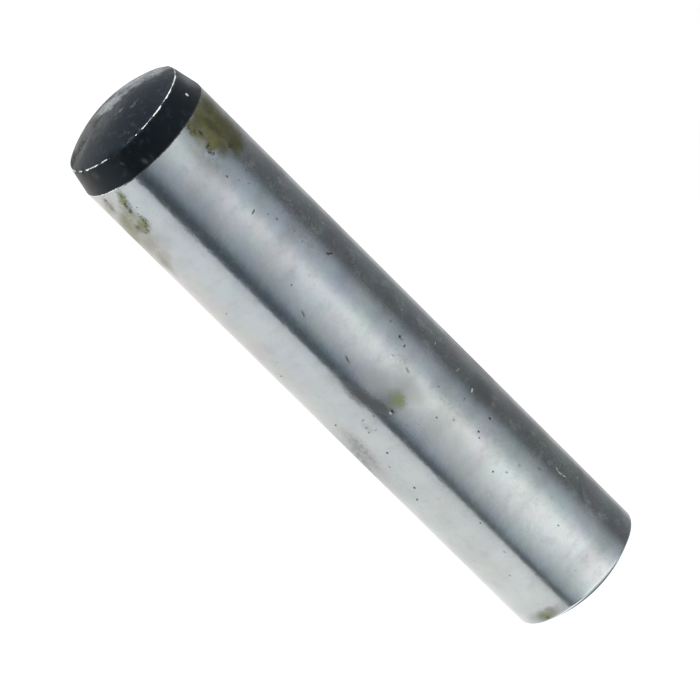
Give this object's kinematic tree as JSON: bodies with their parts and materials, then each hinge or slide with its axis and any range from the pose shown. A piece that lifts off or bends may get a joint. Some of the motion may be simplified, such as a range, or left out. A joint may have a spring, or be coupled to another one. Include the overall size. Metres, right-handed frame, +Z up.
{
  "type": "dowel pin",
  "caption": "Solid hardened dowel pin: ground cylindrical shank, crowned ends, and a short tapered lead-in at one end.",
  "frame": {"origin": "on the pin's axis, at the middle of its overall length", "axes": "+X along the pin's axis from the lead-in end to the plain end, +Z up with the pin lying on its side"},
  "size_m": [0.028, 0.006, 0.006],
  "materials": {
    "ground_steel": "satin ground shank with faint oil stains and pits; lead-in taper and crowned face left black from hardening"
  },
  "bodies": {
    "root": {"dowel_pin": "ground_steel"}
  },
  "joints": []
}
